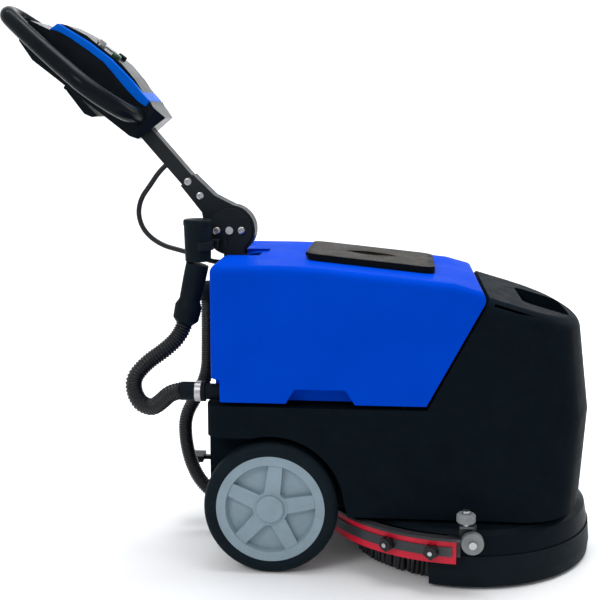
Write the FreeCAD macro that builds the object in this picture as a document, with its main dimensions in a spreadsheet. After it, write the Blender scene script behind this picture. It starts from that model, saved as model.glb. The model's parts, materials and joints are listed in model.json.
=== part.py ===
import FreeCAD, Part
import math
import os

import Sketcher

# Walk-behind wet and dry floor scrubber.
# Every piece is drawn about a datum on the floor straight below the wheel axle: +X runs forward to
# the brush deck, +Y to the machine's left and +Z up. The placement of each piece then moves the
# datum to AxleX, so that the origin of the finished machine is the middle of its footprint.

Vector = FreeCAD.Vector
doc = FreeCAD.newDocument("FloorScrubber")
sheet = doc.addObject("Spreadsheet::Sheet", "Sizes")
parts = []


class Size(float):
    """A number that remembers the spreadsheet expression behind it."""

    def __new__(cls, value, text):
        size = float.__new__(cls, value)
        size.text = text
        return size

    def __add__(self, other):
        return Size(float(self) + float(other), f"({self.text} + {text_of(other)})")

    __radd__ = __add__

    def __sub__(self, other):
        return Size(float(self) - float(other), f"({self.text} - {text_of(other)})")

    def __rsub__(self, other):
        return Size(float(other) - float(self), f"({text_of(other)} - {self.text})")

    def __mul__(self, other):
        return Size(float(self) * float(other), f"({self.text} * {text_of(other)})")

    __rmul__ = __mul__

    def __truediv__(self, other):
        return Size(float(self) / float(other), f"({self.text} / {text_of(other)})")

    def __neg__(self):
        return Size(-float(self), f"(0 - {self.text})")


def text_of(value):
    return value.text if isinstance(value, Size) else f"{float(value):.5f}"


def dim(alias, value):
    """Write one driving dimension to the next row of the sheet."""
    row = dim.row = getattr(dim, "row", 0) + 1
    sheet.set(f"A{row}", alias)
    sheet.set(f"B{row}", str(value))
    sheet.setAlias(f"B{row}", alias)
    return Size(value, f"Sizes.{alias}")


# ---- driving dimensions, in millimetres and degrees ----
AxleX = dim("AxleX", -35.35)

WheelDiameter = dim("WheelDiameter", 250)
WheelWidth = dim("WheelWidth", 50)
WheelFaceY = dim("WheelFaceY", 215)
RimRadius = dim("RimRadius", 101)
RimRecessRadius = dim("RimRecessRadius", 84)
RimRecessDepth = dim("RimRecessDepth", 9)
HubCapRadius = dim("HubCapRadius", 26)
HubRadius = dim("HubRadius", 22)
AxleDiameter = dim("AxleDiameter", 20)
RunningFit = dim("RunningFit", 0.05)

ShellHalfWidth = dim("ShellHalfWidth", 205)
ShellRearX = dim("ShellRearX", -120)
ShellFloorZ = dim("ShellFloorZ", 165)
ShellSeatZ = dim("ShellSeatZ", 317)
ShellBandZ = dim("ShellBandZ", 257)
ShellSkirtZ = dim("ShellSkirtZ", 112)
ShellWall = dim("ShellWall", 8)
ArchRadius = dim("ArchRadius", 137)
WheelWellY = dim("WheelWellY", 155)
NoseX = dim("NoseX", 599)
NoseCreaseZ = dim("NoseCreaseZ", 291)
NoseRadius = dim("NoseRadius", 330)
CornerRadius = dim("CornerRadius", 110)
SeamFootX = dim("SeamFootX", 285)
SeamTopX = dim("SeamTopX", 393)
SeamTopZ = dim("SeamTopZ", 521)
TowerTopZ = dim("TowerTopZ", 540)
TowerTopRadius = dim("TowerTopRadius", 32)

TankRearX = dim("TankRearX", -113)
TankHalfWidth = dim("TankHalfWidth", 205)
TankBottomZ = dim("TankBottomZ", 325)
TankShoulderZ = dim("TankShoulderZ", 577)
TankWall = dim("TankWall", 5)
SeamGap = dim("SeamGap", 6)
ChannelHalfWidth = dim("ChannelHalfWidth", 36)
ChannelFrontX = dim("ChannelFrontX", -42)
LidRearX = dim("LidRearX", 58)
LidFrontX = dim("LidFrontX", 298)
LidHalfWidth = dim("LidHalfWidth", 106)
LidThickness = dim("LidThickness", 9)

DeckX = dim("DeckX", 358)
DeckRadius = dim("DeckRadius", 250)
SkirtRadius = dim("SkirtRadius", 255)
SkirtBottomZ = dim("SkirtBottomZ", 6)
DeckRidgeZ = dim("DeckRidgeZ", 65)
DeckTopZ = dim("DeckTopZ", 106)
SkirtHalfAngle = dim("SkirtHalfAngle", 105)
BrushRadius = dim("BrushRadius", 215)
BristleHeight = dim("BristleHeight", 52)
BrushPlateThickness = dim("BrushPlateThickness", 14)

SqueegeeRadius = dim("SqueegeeRadius", 262)
SqueegeeLift = dim("SqueegeeLift", 57)
SqueegeeHalfAngle = dim("SqueegeeHalfAngle", 86)
BladeThickness = dim("BladeThickness", 3.5)
BladeHeight = dim("BladeHeight", 42)
CarrierWidth = dim("CarrierWidth", 7)
RollerDiameter = dim("RollerDiameter", 40)
RollerWidth = dim("RollerWidth", 17)

HingeX = dim("HingeX", -98)
HingeZ = dim("HingeZ", 622)
HingeHeadRadius = dim("HingeHeadRadius", 49)
CheekRadius = dim("CheekRadius", 43)
HandleAngle = dim("HandleAngle", 49)
HandleTubeDepth = dim("HandleTubeDepth", 27)
HandleTubeWidth = dim("HandleTubeWidth", 40)
NeckX = dim("NeckX", -248)
NeckZ = dim("NeckZ", 815)
ConsoleAngle = dim("ConsoleAngle", 37)
HoopLength = dim("HoopLength", 353.2)
HoopHalfWidth = dim("HoopHalfWidth", 155)
HoopTubeRadius = dim("HoopTubeRadius", 17)

SuctionHoseDiameter = dim("SuctionHoseDiameter", 29)
DrainHoseDiameter = dim("DrainHoseDiameter", 33)
HandleCableDiameter = dim("HandleCableDiameter", 10)

# gap where a hose ends against a piece that moves without it
JointGap = 0.3

doc.recompute()


# ---- helpers ----
def bind(obj, name, value):
    """Set a property, through the sheet when the value comes from it."""
    if isinstance(value, Size):
        obj.setExpression(name, value.text)
    else:
        obj.setExpression(name, f"{float(value):.5f}")


def finish(obj, label, x=0.0, y=0.0, z=0.0):
    """Name a sub-part and place it from the datum below the axle."""
    obj.Label = label
    bind(obj, "Placement.Base.x", AxleX + x)
    bind(obj, "Placement.Base.y", y)
    bind(obj, "Placement.Base.z", z)
    parts.append(obj)
    return obj


def new_body(name):
    return doc.addObject("PartDesign::Body", f"{name}_body")


def origin_plane(body, role):
    return next(feature for feature in body.Origin.OriginFeatures if feature.Role == role)


def new_sketch(body, role, offset=0.0):
    """A sketch on an origin plane.

    XY looks along Z, XZ draws X and Z (offset towards -Y), YZ draws Y and Z.
    """
    sketch = body.newObject("Sketcher::SketchObject", f"{body.Name}_sketch")
    sketch.AttachmentSupport = [(origin_plane(body, role), "")]
    sketch.MapMode = "FlatFace"
    bind(sketch, "AttachmentOffset.Base.z", offset)
    return sketch


def fix_point(sketch, geometry, which, x, y):
    """Tie one point of a sketch to its coordinates."""
    for axis, kind, value in ((-2, "DistanceX", x), (-1, "DistanceY", y)):
        if abs(value) < 1e-9:
            sketch.addConstraint(Sketcher.Constraint("PointOnObject", geometry, which, axis))
            continue
        index = sketch.addConstraint(
            Sketcher.Constraint(kind, -1, 1, geometry, which, float(value))
        )
        if isinstance(value, Size):
            sketch.setExpression(f"Constraints[{index}]", value.text)


def circle(sketch, x, y, radius):
    shape = Part.Circle(Vector(x, y, 0), Vector(0, 0, 1), float(radius))
    index = sketch.addGeometry(shape, False)
    fix_point(sketch, index, 3, x, y)
    ring = sketch.addConstraint(Sketcher.Constraint("Radius", index, float(radius)))
    if isinstance(radius, Size):
        sketch.setExpression(f"Constraints[{ring}]", radius.text)


def outline(sketch, points):
    """A closed outline of straight lines. A point with a third value is the middle of an arc."""
    corners = [point for point in points if len(point) == 2]
    first = sketch.GeometryCount
    indices = []
    number = 0
    while number < len(points):
        start = points[number]
        after = points[(number + 1) % len(points)]
        step = 2 if len(after) == 3 else 1
        end = points[(number + step) % len(points)]
        a, b = Vector(start[0], start[1], 0), Vector(end[0], end[1], 0)
        if step == 2:
            arc = Part.Arc(a, Vector(after[0], after[1], 0), b)
            index = sketch.addGeometry(arc, False)
            backwards = sketch.getPoint(index, 1).distanceToPoint(a) > 1e-4
            indices.append((index, 2, 1) if backwards else (index, 1, 2))
            sketch.addConstraint(Sketcher.Constraint("Radius", index, sketch.Geometry[index].Radius))
        else:
            index = sketch.addGeometry(Part.LineSegment(a, b), False)
            indices.append((index, 1, 2))
        number += step
    for (index, _, end), (following, start, _) in zip(indices, indices[1:] + indices[:1]):
        sketch.addConstraint(Sketcher.Constraint("Coincident", index, end, following, start))
    for (index, start, _), corner in zip(indices, corners):
        fix_point(sketch, index, start, *corner)
    return first


def rounded_box(sketch, x_low, x_high, y_low, y_high, radius):
    """An upright rectangle with round corners."""
    diagonal = radius * (1 - math.sqrt(0.5))
    outline(
        sketch,
        [
            (x_low + radius, y_low),
            (x_high - radius, y_low),
            (x_high - diagonal, y_low + diagonal, 0),
            (x_high, y_low + radius),
            (x_high, y_high - radius),
            (x_high - diagonal, y_high - diagonal, 0),
            (x_high - radius, y_high),
            (x_low + radius, y_high),
            (x_low + diagonal, y_high - diagonal, 0),
            (x_low, y_high - radius),
            (x_low, y_low + radius),
            (x_low + diagonal, y_low + diagonal, 0),
        ],
    )


def pad(body, sketch, length, symmetric=False, reverse=False):
    feature = body.newObject("PartDesign::Pad", f"{body.Name}_pad")
    feature.Profile = sketch
    bind(feature, "Length", length)
    feature.SideType = "Symmetric" if symmetric else "One side"
    feature.Reversed = reverse
    doc.recompute()
    return feature


def pocket(body, sketch, length, symmetric=False, reverse=False):
    """Cut a sketch into the body and check that the cut bites."""
    before = body.Shape.Volume
    feature = body.newObject("PartDesign::Pocket", f"{body.Name}_pocket")
    feature.Profile = sketch
    bind(feature, "Length", length)
    feature.SideType = "Symmetric" if symmetric else "One side"
    feature.Reversed = reverse
    doc.recompute()
    if body.Shape.Volume > before - 1:
        raise RuntimeError(f"{feature.Name} cuts nothing")
    return feature


def revolve(body, sketch, axis="V_Axis", angle=360):
    feature = body.newObject("PartDesign::Revolution", f"{body.Name}_revolution")
    feature.Profile = sketch
    feature.ReferenceAxis = (sketch, [axis])
    feature.Angle = angle
    doc.recompute()
    return feature


def fillet(body, feature, radius, test):
    """Round the edges of a feature that pass a test of their middle and direction."""
    names = []
    for number, edge in enumerate(feature.Shape.Edges, 1):
        low, high = edge.ParameterRange
        middle = edge.valueAt((low + high) / 2)
        if test(middle, edge):
            names.append(f"Edge{number}")
    rounded = body.newObject("PartDesign::Fillet", f"{body.Name}_fillet")
    rounded.Base = (feature, names)
    bind(rounded, "Radius", radius)
    doc.recompute()
    if "Invalid" in rounded.State or rounded.Shape.isNull():
        raise RuntimeError(f"{rounded.Name} fails on {len(names)} edges")
    return rounded


def turned(name, profile, x=0.0, y=0.0, z=0.0, axis="Z"):
    """A revolved body. The profile holds (radius, height) points; axis Y lies across the machine."""
    body = new_body(name)
    sketch = new_sketch(body, "XZ_Plane")
    outline(sketch, profile)
    revolve(body, sketch)
    if axis == "Y":
        body.Placement.Rotation = FreeCAD.Rotation(Vector(1, 0, 0), -90)
    if axis == "X":
        body.Placement.Rotation = FreeCAD.Rotation(Vector(0, 1, 0), 90)
    return finish(body, name, x, y, z)


def ring_profile(inner, outer, low, high):
    return [(inner, low), (outer, low), (outer, high), (inner, high)]


def box(name, x, y, z):
    """A Part box between (low, high) pairs."""
    solid = doc.addObject("Part::Box", f"{name}_box")
    bind(solid, "Length", x[1] - x[0])
    bind(solid, "Width", y[1] - y[0])
    bind(solid, "Height", z[1] - z[0])
    for axis, pair in (("x", x), ("y", y), ("z", z)):
        bind(solid, f"Placement.Base.{axis}", pair[0])
    return solid


def cylinder(name, radius, start, length, direction="Z"):
    """A Part cylinder from a start point along an axis of the machine."""
    solid = doc.addObject("Part::Cylinder", f"{name}_cylinder")
    bind(solid, "Radius", radius)
    bind(solid, "Height", length)
    if direction == "Y":
        solid.Placement.Rotation = FreeCAD.Rotation(Vector(1, 0, 0), -90)
    if direction == "X":
        solid.Placement.Rotation = FreeCAD.Rotation(Vector(0, 1, 0), 90)
    for axis, value in zip("xyz", start):
        bind(solid, f"Placement.Base.{axis}", value)
    return solid


def fused(name, solids):
    union = doc.addObject("Part::MultiFuse", f"{name}_union")
    union.Shapes = solids
    return union


def cut(name, base, tool):
    difference = doc.addObject("Part::Cut", f"{name}_cut")
    difference.Base = base
    difference.Tool = tool
    return difference


def group(name, solids):
    """Identical separate solids that share one sub-part."""
    compound = doc.addObject("Part::Compound", f"{name}_group")
    compound.Links = solids
    return compound


def curved_wall(name, profile, half_angle, middle_angle):
    """A wall round the deck's upright axis. The profile holds (radius, height) points."""
    body = new_body(name)
    sketch = new_sketch(body, "XZ_Plane")
    outline(sketch, profile)
    feature = revolve(body, sketch)
    feature.Midplane = True
    bind(feature, "Angle", half_angle * 2)
    body.Placement.Rotation = FreeCAD.Rotation(Vector(0, 0, 1), middle_angle)
    doc.recompute()
    return body


def route_wire(name, points):
    """Straight runs joined by tangent arcs, each as large as its two runs allow."""
    points = [Vector(*point) for point in points]
    edges = []
    start = points[0]
    radii = []
    for before, corner, after in zip(points, points[1:], points[2:]):
        arriving = (corner - before).normalize()
        leaving = (after - corner).normalize()
        turn = arriving.getAngle(leaving)
        setback = 0.45 * min(before.distanceToPoint(corner), corner.distanceToPoint(after))
        radius = setback / math.tan(turn / 2)
        radii.append(radius)
        enter = corner - arriving * setback
        leave = corner + leaving * setback
        inward = (leaving - arriving).normalize()
        middle = corner + inward * (radius / math.cos(turn / 2) - radius)
        edges.append(Part.LineSegment(start, enter).toShape())
        edges.append(Part.Arc(enter, middle, leave).toShape())
        start = leave
    edges.append(Part.LineSegment(start, points[-1]).toShape())
    wire = Part.Wire(edges)
    print(f"{name}: length {wire.Length:.1f}, radii", " ".join(f"{radius:.0f}" for radius in radii))
    return wire


def hose(name, points, diameter):
    """A solid tube along a route of points, with its volume checked against section times length."""
    wire = route_wire(name, points)
    start = Vector(*points[0])
    direction = Vector(*points[1]) - start
    section = Part.Wire([Part.Circle(start, direction, float(diameter) / 2).toShape()])
    solid = wire.makePipeShell([section], True, False)
    expected = math.pi * float(diameter) ** 2 / 4 * wire.Length
    if abs(solid.Volume / expected - 1) > 0.01:
        raise RuntimeError(f"{name} has volume {solid.Volume:.0f}, not {expected:.0f}")
    tube = doc.addObject("Part::Feature", f"{name}_tube")
    tube.Shape = solid
    return finish(tube, name)


# ---- wheels ----
def wheel(side, sign):
    """Tyre and five-spoke rim with its hub cap.

    The depth in each profile runs inward from the outer face.
    """
    radius = WheelDiameter / 2

    def across(depth):
        return (WheelFaceY - depth) * sign

    turned(
        f"tyre_{side}",
        [
            (RimRadius, across(3)),
            (RimRadius + 9, across(0)),
            (radius - 4.2, across(4.2), 0),
            (radius, across(14)),
            (radius, across(WheelWidth - 14)),
            (radius - 4.2, across(WheelWidth - 4.2), 0),
            (RimRadius + 9, across(WheelWidth)),
            (RimRadius, across(WheelWidth - 3)),
        ],
        z=radius,
        axis="Y",
    )
    rim = new_body(f"rim_{side}")
    sketch = new_sketch(rim, "XZ_Plane")
    bore = HubRadius - 1 + RunningFit
    outline(
        sketch,
        [
            (bore, across(5)),
            (HubCapRadius + 6, across(5)),
            (HubCapRadius + 8, across(RimRecessDepth + 8)),
            (RimRecessRadius - 4, across(RimRecessDepth + 8)),
            (RimRecessRadius, across(3)),
            (RimRadius, across(3)),
            (RimRadius, across(WheelWidth - 3)),
            (RimRecessRadius + 4, across(WheelWidth - 3)),
            (RimRecessRadius, across(RimRecessDepth + 14)),
            (HubCapRadius + 8, across(RimRecessDepth + 14)),
            (HubCapRadius + 6, across(WheelWidth - 5)),
            (bore, across(WheelWidth - 5)),
        ],
    )
    revolve(rim, sketch)
    spoke_sketch = new_sketch(rim, "XY_Plane", across(RimRecessDepth + 10))
    outline(
        spoke_sketch,
        [
            (HubCapRadius + 2, -15),
            (RimRecessRadius + 1, -13),
            (RimRecessRadius + 1, 13),
            (HubCapRadius + 2, 15),
        ],
    )
    spoke = pad(rim, spoke_sketch, RimRecessDepth + 4, reverse=sign < 0)
    spokes = rim.newObject("PartDesign::PolarPattern", f"rim_{side}_spokes")
    spokes.Originals = [spoke]
    spokes.Axis = (origin_plane(rim, "Z_Axis"), [""])
    spokes.Angle = 360
    spokes.Occurrences = 5
    rim.Tip = spokes
    cap_sketch = new_sketch(rim, "XZ_Plane")
    outline(
        cap_sketch,
        [
            (0, across(-1.5)),
            (HubCapRadius - 3, across(-1.5)),
            (HubCapRadius, across(1)),
            (HubCapRadius, across(5.5)),
            (0, across(5.5)),
        ],
    )
    revolve(rim, cap_sketch)
    first_spoke = FreeCAD.Rotation(Vector(0, 0, 1), -83)
    rim.Placement.Rotation = FreeCAD.Rotation(Vector(1, 0, 0), -90) * first_spoke
    finish(rim, f"rim_{side}", z=radius)


for wheel_side, wheel_sign in (("right", -1), ("left", 1)):
    wheel(wheel_side, wheel_sign)

AxleEndY = WheelFaceY - 7
finish(
    cylinder("axle", AxleDiameter / 2, (0, -AxleEndY, WheelDiameter / 2), AxleEndY * 2, "Y"),
    "axle",
    y=-AxleEndY,
    z=WheelDiameter / 2,
)


def bearing(number, middle_y):
    """A ring that fills the hub's bore round the axle."""
    start = (0, middle_y - 6, WheelDiameter / 2)
    outer = cylinder(f"bearing_outer_{number}", HubRadius - 1, start, 12, "Y")
    inner = cylinder(f"bearing_inner_{number}", AxleDiameter / 2, start, 12, "Y")
    return cut(f"bearing_{number}", outer, inner)


bearing_places = [
    side * (WheelFaceY - depth) for side in (-1, 1) for depth in (14, WheelWidth - 12)
]
finish(
    group("wheel_bearings", [bearing(number, y) for number, y in enumerate(bearing_places)]),
    "wheel_bearings",
)

# ---- chassis frame ----
RailOuterY = 125
RailInnerY = 100
RailLowZ = 138
RailTopZ = 162
MotorBayHalfWidth = 128
BrushMotorRadius = 50
MastHalfWidth = 22
MastRearX = -110
MastFrontX = -70
MastTopZ = HingeZ - HingeHeadRadius - 2

frame_pieces = []
for rail_side in (-1, 1):
    near, far = sorted((rail_side * RailInnerY, rail_side * RailOuterY))
    frame_pieces.append(box(f"rail_{near}", (-112, 440), (near, far), (RailLowZ, RailTopZ)))
    hanger_low, hanger_high = sorted((rail_side * (RailOuterY - 8), rail_side * RailOuterY))
    hanger = box(f"hanger_{near}", (-24, 24), (hanger_low, hanger_high), (108, RailLowZ + 1))
    frame_pieces.append(hanger)
    for post_x in (300, 416):
        frame_pieces.append(
            cylinder(f"post_{near}_{post_x}", 8, (post_x, rail_side * 88, DeckTopZ), 40)
        )
for bar_rear, bar_front in ((-112, -64), (-30, 0), (228, 252), (424, 440)):
    frame_pieces.append(
        box(f"bar_{bar_front}", (bar_rear, bar_front), (-RailOuterY, RailOuterY), (RailLowZ, RailTopZ))
    )
PedalX = -126
PedalZ = 130
PedalPinRadius = 5
PedalEars = ((60, 66), (86, 92))
for ear_pair in PedalEars:
    frame_pieces.append(box(f"pedal_ear_{ear_pair[0]}", (-136, -100), ear_pair, (120, 152)))
motor_plate = box("motor_plate", (286, 430), (-RailOuterY, RailOuterY), (RailLowZ, RailLowZ + 7))
frame_pieces.append(motor_plate)
frame_union = fused("chassis_frame", frame_pieces)
axle_hole = cylinder("axle_hole", AxleDiameter / 2, (0, -200, WheelDiameter / 2), 400, "Y")
motor_hole = cylinder("motor_hole", BrushMotorRadius + 1, (DeckX, 0, 100), 80)
pedal_hole = cylinder("pedal_hole", PedalPinRadius + RunningFit, (PedalX, 50, PedalZ), 50, "Y")
finish(
    cut("chassis_frame", frame_union, fused("frame_holes", [axle_hole, motor_hole, pedal_hole])),
    "chassis_frame",
)

mast_outer = box(
    "mast_outer", (MastRearX, MastFrontX), (-MastHalfWidth, MastHalfWidth), (RailTopZ, MastTopZ)
)
mast_inner = box(
    "mast_inner",
    (MastRearX + 3, MastFrontX - 3),
    (-MastHalfWidth + 3, MastHalfWidth - 3),
    (RailTopZ - 1, MastTopZ - 6),
)
GlandX = MastRearX - 8
GlandZ = 556
gland = cylinder("cable_gland", 9, (GlandX, 0, GlandZ), 8, "X")
finish(fused("mast", [cut("mast_tube", mast_outer, mast_inner), gland]), "mast")

# ---- body shell, which is also the solution tank ----
BatteryBayRearX = -32
BatteryBayFrontX = 256
BatteryBayHalfWidth = 121
BandFrontX = 300
MotorBayTopZ = 262
FillX = 506
FillRadius = 34
FillFloorZ = 446

sky = 700
TowerSlope = 0.295
TowerFrontZ = SeamTopZ - (NoseX + 30 - SeamTopX) * TowerSlope

shell = new_body("body_shell")
band_sketch = new_sketch(shell, "XY_Plane", ShellFloorZ)
rounded_box(band_sketch, ShellRearX, BandFrontX + 40, -ShellHalfWidth, ShellHalfWidth, 30)
pad(shell, band_sketch, ShellSeatZ - ShellFloorZ)


def tower_section(body, height, nose_x, half_width, rear_x=190):
    """One plan outline of the front tower: straight flanks, round corners and a bowed nose."""
    sketch = new_sketch(body, "XY_Plane", height)
    nose_centre = nose_x - NoseRadius
    corner_y = half_width - CornerRadius
    lean = math.asin(corner_y / (NoseRadius - CornerRadius))
    corner_x = nose_centre + (NoseRadius - CornerRadius) * math.cos(lean)
    join = (nose_centre + NoseRadius * math.cos(lean), NoseRadius * math.sin(lean))
    between = (math.pi / 2 + lean) / 2
    bend = (corner_x + CornerRadius * math.cos(between), corner_y + CornerRadius * math.sin(between))
    outline(
        sketch,
        [
            (rear_x, -half_width),
            (corner_x, -half_width),
            (bend[0], -bend[1], 0),
            (join[0], -join[1]),
            (nose_x, 0, 0),
            join,
            (bend[0], bend[1], 0),
            (corner_x, half_width),
            (rear_x, half_width),
        ],
    )
    return sketch


def tower(body, bottom_z, inset, rear_x):
    """The tower from its foot to above its top, in two straight stages that meet at the crease."""
    half_width = ShellHalfWidth - inset
    stages = (
        ((bottom_z, NoseX - 11 - inset, half_width), (NoseCreaseZ, NoseX - inset, half_width)),
        ((NoseCreaseZ, NoseX - inset, half_width), (TowerTopZ, NoseX - 32 - inset, half_width - 6)),
    )
    for foot, head in stages:
        loft = body.newObject("PartDesign::AdditiveLoft", f"{body.Name}_loft")
        loft.Profile = tower_section(body, *foot, rear_x)
        loft.Sections = [tower_section(body, *head, rear_x)]
        loft.Ruled = True
        doc.recompute()


def slope_cut(body, inset):
    """Cut away what lies above the sloping top and behind the slanted seam."""
    sketch = new_sketch(body, "XZ_Plane")
    outline(
        sketch,
        [
            (SeamTopX + inset, SeamTopZ - inset),
            (NoseX + 30, TowerFrontZ - inset),
            (NoseX + 30, sky),
            (ShellRearX - 20, sky),
            (ShellRearX - 20, ShellSeatZ),
            (SeamFootX + inset, ShellSeatZ),
        ],
    )
    return pocket(body, sketch, 600, symmetric=True)


tower(shell, ShellSkirtZ, 0, 90)

def on_tower_rim(middle, edge):
    """Edges of the sloping top, apart from the one along the seam."""
    level = SeamTopZ - (middle.x - SeamTopX) * TowerSlope
    return abs(middle.z - level) < 1 and middle.x > SeamTopX + 2


top_cut = slope_cut(shell, 0)
fillet(shell, top_cut, TowerTopRadius, on_tower_rim)

# wheel wells, open outward and below the rear band
well_sketch = new_sketch(shell, "XZ_Plane", WheelWellY)
axle_z = WheelDiameter / 2
well_slope = math.sqrt(0.5) * ArchRadius
outline(
    well_sketch,
    [
        (ShellRearX - 10, ShellSkirtZ - 20),
        (ShellRearX - 10, ShellBandZ),
        (-math.sqrt(ArchRadius**2 - (ShellBandZ - axle_z) ** 2), ShellBandZ),
        (well_slope, axle_z + well_slope, 0),
        (ArchRadius - 1, axle_z + 14),
        (ArchRadius + 12, 90),
    ],
)
well = pocket(shell, well_sketch, 100, reverse=True)
wells = shell.newObject("PartDesign::Mirrored", "body_shell_wells")
wells.Originals = [well]
wells.MirrorPlane = (origin_plane(shell, "XZ_Plane"), [""])
shell.Tip = wells
doc.recompute()

# battery bay, mast notch, motor bay and water chamber
bay_sketch = new_sketch(shell, "XY_Plane", ShellSeatZ + 1)
rounded_box(
    bay_sketch, BatteryBayRearX, BatteryBayFrontX, -BatteryBayHalfWidth, BatteryBayHalfWidth, 8
)
pocket(shell, bay_sketch, ShellSeatZ + 1 - ShellFloorZ - ShellWall)
notch_sketch = new_sketch(shell, "XY_Plane", ShellSeatZ + 1)
outline(
    notch_sketch,
    [
        (ShellRearX - 5, -MastHalfWidth - 2),
        (MastFrontX + 2, -MastHalfWidth - 2),
        (MastFrontX + 2, MastHalfWidth + 2),
        (ShellRearX - 5, MastHalfWidth + 2),
    ],
)
pocket(shell, notch_sketch, ShellSeatZ - ShellFloorZ + 20)
motor_sketch = new_sketch(shell, "XY_Plane", ShellSkirtZ - 10)
rounded_box(motor_sketch, 276, 548, -MotorBayHalfWidth, MotorBayHalfWidth, 12)
pocket(shell, motor_sketch, MotorBayTopZ - ShellSkirtZ + 10, reverse=True)
rail_sketch = new_sketch(shell, "XY_Plane", ShellSkirtZ - 10)
rounded_box(rail_sketch, 60, 290, -MotorBayHalfWidth, MotorBayHalfWidth, 6)
pocket(shell, rail_sketch, RailTopZ + 1 - ShellSkirtZ + 10, reverse=True)

recess_sketch = new_sketch(shell, "XY_Plane", sky)
rounded_box(recess_sketch, 462, 550, -92, 92, 18)
pocket(shell, recess_sketch, sky - FillFloorZ)
neck_sketch = new_sketch(shell, "XY_Plane", FillFloorZ + 4)
circle(neck_sketch, FillX, 0, FillRadius)
pocket(shell, neck_sketch, 60)


# ---- the water chamber inside the shell's walls ----
chamber = new_body("water_chamber")
tower(chamber, ShellSkirtZ + ShellWall, ShellWall, 206)
slope_cut(chamber, ShellWall + 1)
core_sketch = new_sketch(chamber, "XY_Plane", ShellSkirtZ)
core_half = MotorBayHalfWidth + ShellWall
rounded_box(core_sketch, 180, 548 + ShellWall, -core_half, core_half, 20)
pocket(chamber, core_sketch, MotorBayTopZ + ShellWall - ShellSkirtZ, reverse=True)
under_sketch = new_sketch(chamber, "XY_Plane", FillFloorZ - ShellWall)
rounded_box(under_sketch, 462 - ShellWall, 550 + ShellWall, -92 - ShellWall, 92 + ShellWall, 26)
pocket(chamber, under_sketch, 200, reverse=True)
side_chambers = [
    box(
        f"side_chamber_{number}",
        (ShellRearX + 30, SeamFootX - 12),
        (low, high),
        (ShellBandZ + ShellWall, ShellSeatZ - ShellWall),
    )
    for number, (low, high) in enumerate(((-197, -129), (129, 197)))
]
water_space = fused("water_space", [chamber] + side_chambers)
finish(cut("body_shell", shell, water_space), "body_shell")

turned(
    "fill_cap",
    [
        (0, FillFloorZ - 22),
        (FillRadius - 2, FillFloorZ - 22),
        (FillRadius - 2, FillFloorZ + 0.3),
        (FillRadius + 7, FillFloorZ + 0.3),
        (FillRadius + 7, FillFloorZ + 14),
        (FillRadius + 4, FillFloorZ + 17),
        (0, FillFloorZ + 17),
    ],
    x=FillX,
)

# ---- recovery tank ----
TankBendX = 50
TankFrontZ = 531
TankSlope = 0.1036
DrainY = -165
DrainZ = 335
TankSlant = (SeamTopX - SeamFootX) / (SeamTopZ - ShellSeatZ)
TankFootX = SeamFootX - SeamGap + (TankBottomZ - ShellSeatZ) * TankSlant
TankFrontX = TankFootX + (TankFrontZ - TankBottomZ) * TankSlant


def tank_top(x):
    """Height of the tank's top, which slopes down forward of the bend."""
    return TankShoulderZ - (x - TankBendX) * TankSlope


BendSetback = 50
BendTurn = math.atan(TankSlope)
BendFrontX = TankBendX + BendSetback * math.cos(BendTurn)
BendDrop = BendSetback / math.tan(BendTurn / 2) * (1 / math.cos(BendTurn / 2) - 1)


tank = new_body("recovery_tank")
tank_sketch = new_sketch(tank, "XZ_Plane")
bend_middle = (
    TankBendX - BendDrop * math.sin(BendTurn / 2),
    TankShoulderZ - BendDrop * math.cos(BendTurn / 2),
)
outline(
    tank_sketch,
    [
        (TankRearX, TankBottomZ),
        (TankFootX, TankBottomZ),
        (TankFrontX, TankFrontZ),
        (330, tank_top(330)),
        (BendFrontX, tank_top(BendFrontX)),
        (*bend_middle, 0),
        (TankBendX - BendSetback, TankShoulderZ),
        (TankRearX, TankShoulderZ),
    ],
)
tank_block = pad(tank, tank_sketch, TankHalfWidth * 2, symmetric=True)
upright = fillet(
    tank, tank_block, 30, lambda middle, edge: abs(middle.x - TankRearX) < 1 and abs(middle.y) > 200
)


def on_tank_rim(middle, edge):
    """The edge loop round the tank's top, apart from the bends that cross it."""
    if middle.z < TankFrontZ - 2:
        return False
    return abs(middle.y) > 170 or middle.x < TankRearX + 2 or middle.x > TankFrontX - 2


fillet(tank, upright, 17, on_tank_rim)
channel_sketch = new_sketch(tank, "XY_Plane", TankBottomZ - 1)
outline(
    channel_sketch,
    [
        (TankRearX - 5, -ChannelHalfWidth),
        (ChannelFrontX, -ChannelHalfWidth),
        (ChannelFrontX, ChannelHalfWidth),
        (TankRearX - 5, ChannelHalfWidth),
    ],
)
pocket(tank, channel_sketch, 300, reverse=True)
trough_sketch = new_sketch(tank, "XZ_Plane")
outline(
    trough_sketch,
    [
        (TankRearX - 5, 557),
        (TankRearX + 24, 561),
        (TankRearX + 54, 571),
        (-26, 573),
        (-26, 600),
        (TankRearX - 5, 600),
    ],
)
pocket(tank, trough_sketch, 2 * ChannelHalfWidth + 34, symmetric=True)
grip_sketch = new_sketch(tank, "XZ_Plane", TankHalfWidth - 26)
outline(
    grip_sketch, [(27, TankBottomZ - 2), (156, TankBottomZ - 2), (137, 352), (45, 352)]
)
grip = pocket(tank, grip_sketch, 40, reverse=True)
grips = tank.newObject("PartDesign::Mirrored", "recovery_tank_grips")
grips.Originals = [grip]
grips.MirrorPlane = (origin_plane(tank, "XZ_Plane"), [""])
tank.Tip = grips
doc.recompute()
corner_sketch = new_sketch(tank, "XZ_Plane", 126)
outline(
    corner_sketch,
    [(TankRearX - 5, TankBottomZ - 5), (-93, TankBottomZ - 5), (-93, 366), (TankRearX - 5, 366)],
)
pocket(tank, corner_sketch, 100, reverse=True)
battery_sketch = new_sketch(tank, "XY_Plane", TankBottomZ - 1)
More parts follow.
